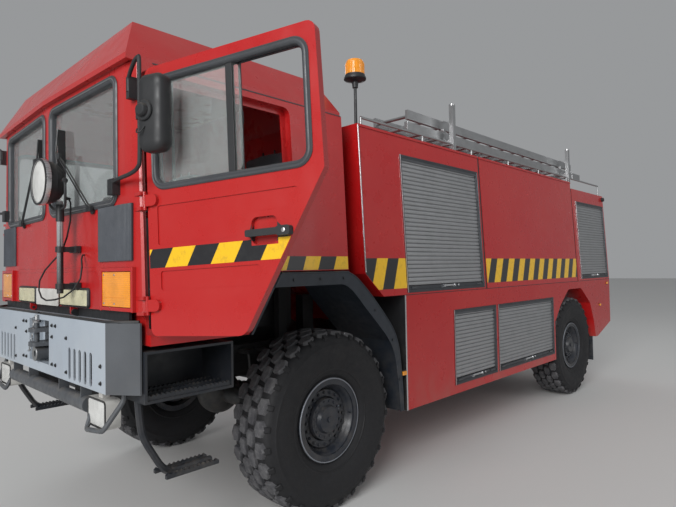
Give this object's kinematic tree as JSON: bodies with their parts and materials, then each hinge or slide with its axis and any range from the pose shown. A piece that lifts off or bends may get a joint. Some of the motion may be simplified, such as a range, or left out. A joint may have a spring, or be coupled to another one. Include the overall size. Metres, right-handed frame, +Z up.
{
  "type": "airport fire truck",
  "caption": "Two-axle airport fire truck on an all-terrain chassis, with an open cab door, roller shutters and roof ladder.",
  "frame": {"origin": "on the ground, under the middle of the outline with the left door open: about 2.15 m behind the front axle and 0.35 m to the left of the centreline", "axes": "+X to the rear, +Y to the right-hand side of the vehicle, +Z up"},
  "size_m": [7.61, 3.7263, 3.331],
  "materials": {
    "red_paint": "gloss paint",
    "black_metal": "satin chassis paint",
    "wheel_metal": "satin paint",
    "tyre": "dusty rubber",
    "glass": "clear",
    "aluminium": "brushed",
    "grey_paint": "satin paint",
    "lamp_orange": "clear amber",
    "dark_plastic": "grained",
    "cable_rubber": "matt",
    "lamp_clear": "clear, ribbed",
    "lamp_red": "clear red, ribbed",
    "hazard_yellow": "gloss paint",
    "hazard_black": "gloss paint",
    "bright_metal": "bright",
    "mirror_glass": "silvered",
    "seal_rubber": "satin",
    "seat_cloth": "woven"
  },
  "bodies": {
    "chassis": {"chassis_frame": "black_metal", "front_axle": "black_metal", "rear_axle": "black_metal", "front_suspension": "black_metal", "rear_suspension": "black_metal", "engine_block": "black_metal", "driveline": "black_metal", "bumper": "grey_paint", "tow_coupling": "black_metal", "fog_lamps": "lamp_clear", "front_steps": "black_metal", "front_locker": "red_paint", "tank": "red_paint", "rear_locker": "red_paint", "side_lockers": "red_paint", "shutters": "aluminium", "mudguards": "dark_plastic", "roof_gear": "aluminium", "beacon": "lamp_orange", "rear_fittings": "black_metal"},
    "cab": {"cab_shell": "red_paint", "cab_roof": "red_paint", "windscreen": "glass", "cab_lamps": "lamp_orange", "cab_interior": "dark_plastic", "corner_panels": "dark_plastic", "wipers": "dark_plastic", "mirror_left": "dark_plastic", "mirror_right": "dark_plastic", "search_lamp": "dark_plastic", "lamp_cable": "cable_rubber"},
    "knuckle_left": {"knuckle_left": "black_metal"},
    "knuckle_right": {"knuckle_right": "black_metal"},
    "tie_rod": {"tie_rod": "black_metal"},
    "wheel_front_left": {"tyre_front_left": "tyre", "rim_front_left": "wheel_metal"},
    "wheel_front_right": {"tyre_front_right": "tyre", "rim_front_right": "wheel_metal"},
    "wheel_rear_left": {"tyre_rear_left": "tyre", "rim_rear_left": "wheel_metal"},
    "wheel_rear_right": {"tyre_rear_right": "tyre", "rim_rear_right": "wheel_metal"},
    "door_left": {"door_left": "red_paint", "door_glass_left": "glass"},
    "door_right": {"door_right": "red_paint", "door_glass_right": "glass"},
    "steering_wheel": {"steering_wheel": "dark_plastic"}
  },
  "joints": [
    {"name": "steer_left", "type": "hinge", "parent": "chassis", "child": "knuckle_left", "pos_m": [-2.155, -0.51218, 0.625], "axis": [0, 0, 1], "range_deg": [-28, 28]},
    {"name": "steer_right", "type": "hinge", "parent": "chassis", "child": "knuckle_right", "pos_m": [-2.155, 1.20782, 0.625], "axis": [0, 0, 1], "range_deg": [-28, 28]},
    {"name": "tie_rod_pin", "type": "hinge", "parent": "knuckle_left", "child": "tie_rod", "pos_m": [-1.915, -0.51218, 0.517], "axis": [0, 0, 1], "range_deg": [-28, 28]},
    {"name": "wheel_front_left", "type": "hinge", "parent": "knuckle_left", "child": "wheel_front_left", "pos_m": [-2.155, -0.69718, 0.625], "axis": [0, 1, 0], "continuous": true},
    {"name": "wheel_front_right", "type": "hinge", "parent": "knuckle_right", "child": "wheel_front_right", "pos_m": [-2.155, 1.39282, 0.625], "axis": [0, 1, 0], "continuous": true},
    {"name": "wheel_rear_left", "type": "hinge", "parent": "chassis", "child": "wheel_rear_left", "pos_m": [2.345, -0.69718, 0.625], "axis": [0, 1, 0], "continuous": true},
    {"name": "wheel_rear_right", "type": "hinge", "parent": "chassis", "child": "wheel_rear_right", "pos_m": [2.345, 1.39282, 0.625], "axis": [0, 1, 0], "continuous": true},
    {"name": "cab_tilt", "type": "hinge", "parent": "chassis", "child": "cab", "pos_m": [-3.575, 0.34782, 1.445], "axis": [0, -1, 0], "range_deg": [0, 55]},
    {"name": "door_left", "type": "hinge", "parent": "cab", "child": "door_left", "pos_m": [-3.527, -0.91117, 1.30061], "axis": [0, -0.0436, -0.999], "range_deg": [-72.5, 5]},
    {"name": "door_right", "type": "hinge", "parent": "cab", "child": "door_right", "pos_m": [-3.527, 1.6068, 1.30061], "axis": [0, -0.0436, 0.999], "range_deg": [0, 77.5]},
    {"name": "steering_wheel", "type": "hinge", "parent": "cab", "child": "steering_wheel", "pos_m": [-3.235, -0.21218, 2.02], "axis": [0.5, 0, 0.866], "range_deg": [-510, 510]}
  ],
  "couplings": [
    {"joint": "steer_right", "follows": "steer_left", "ratio": 1},
    {"joint": "tie_rod_pin", "follows": "steer_left", "ratio": -1},
    {"joint": "steering_wheel", "follows": "steer_left", "ratio": 18}
  ]
}
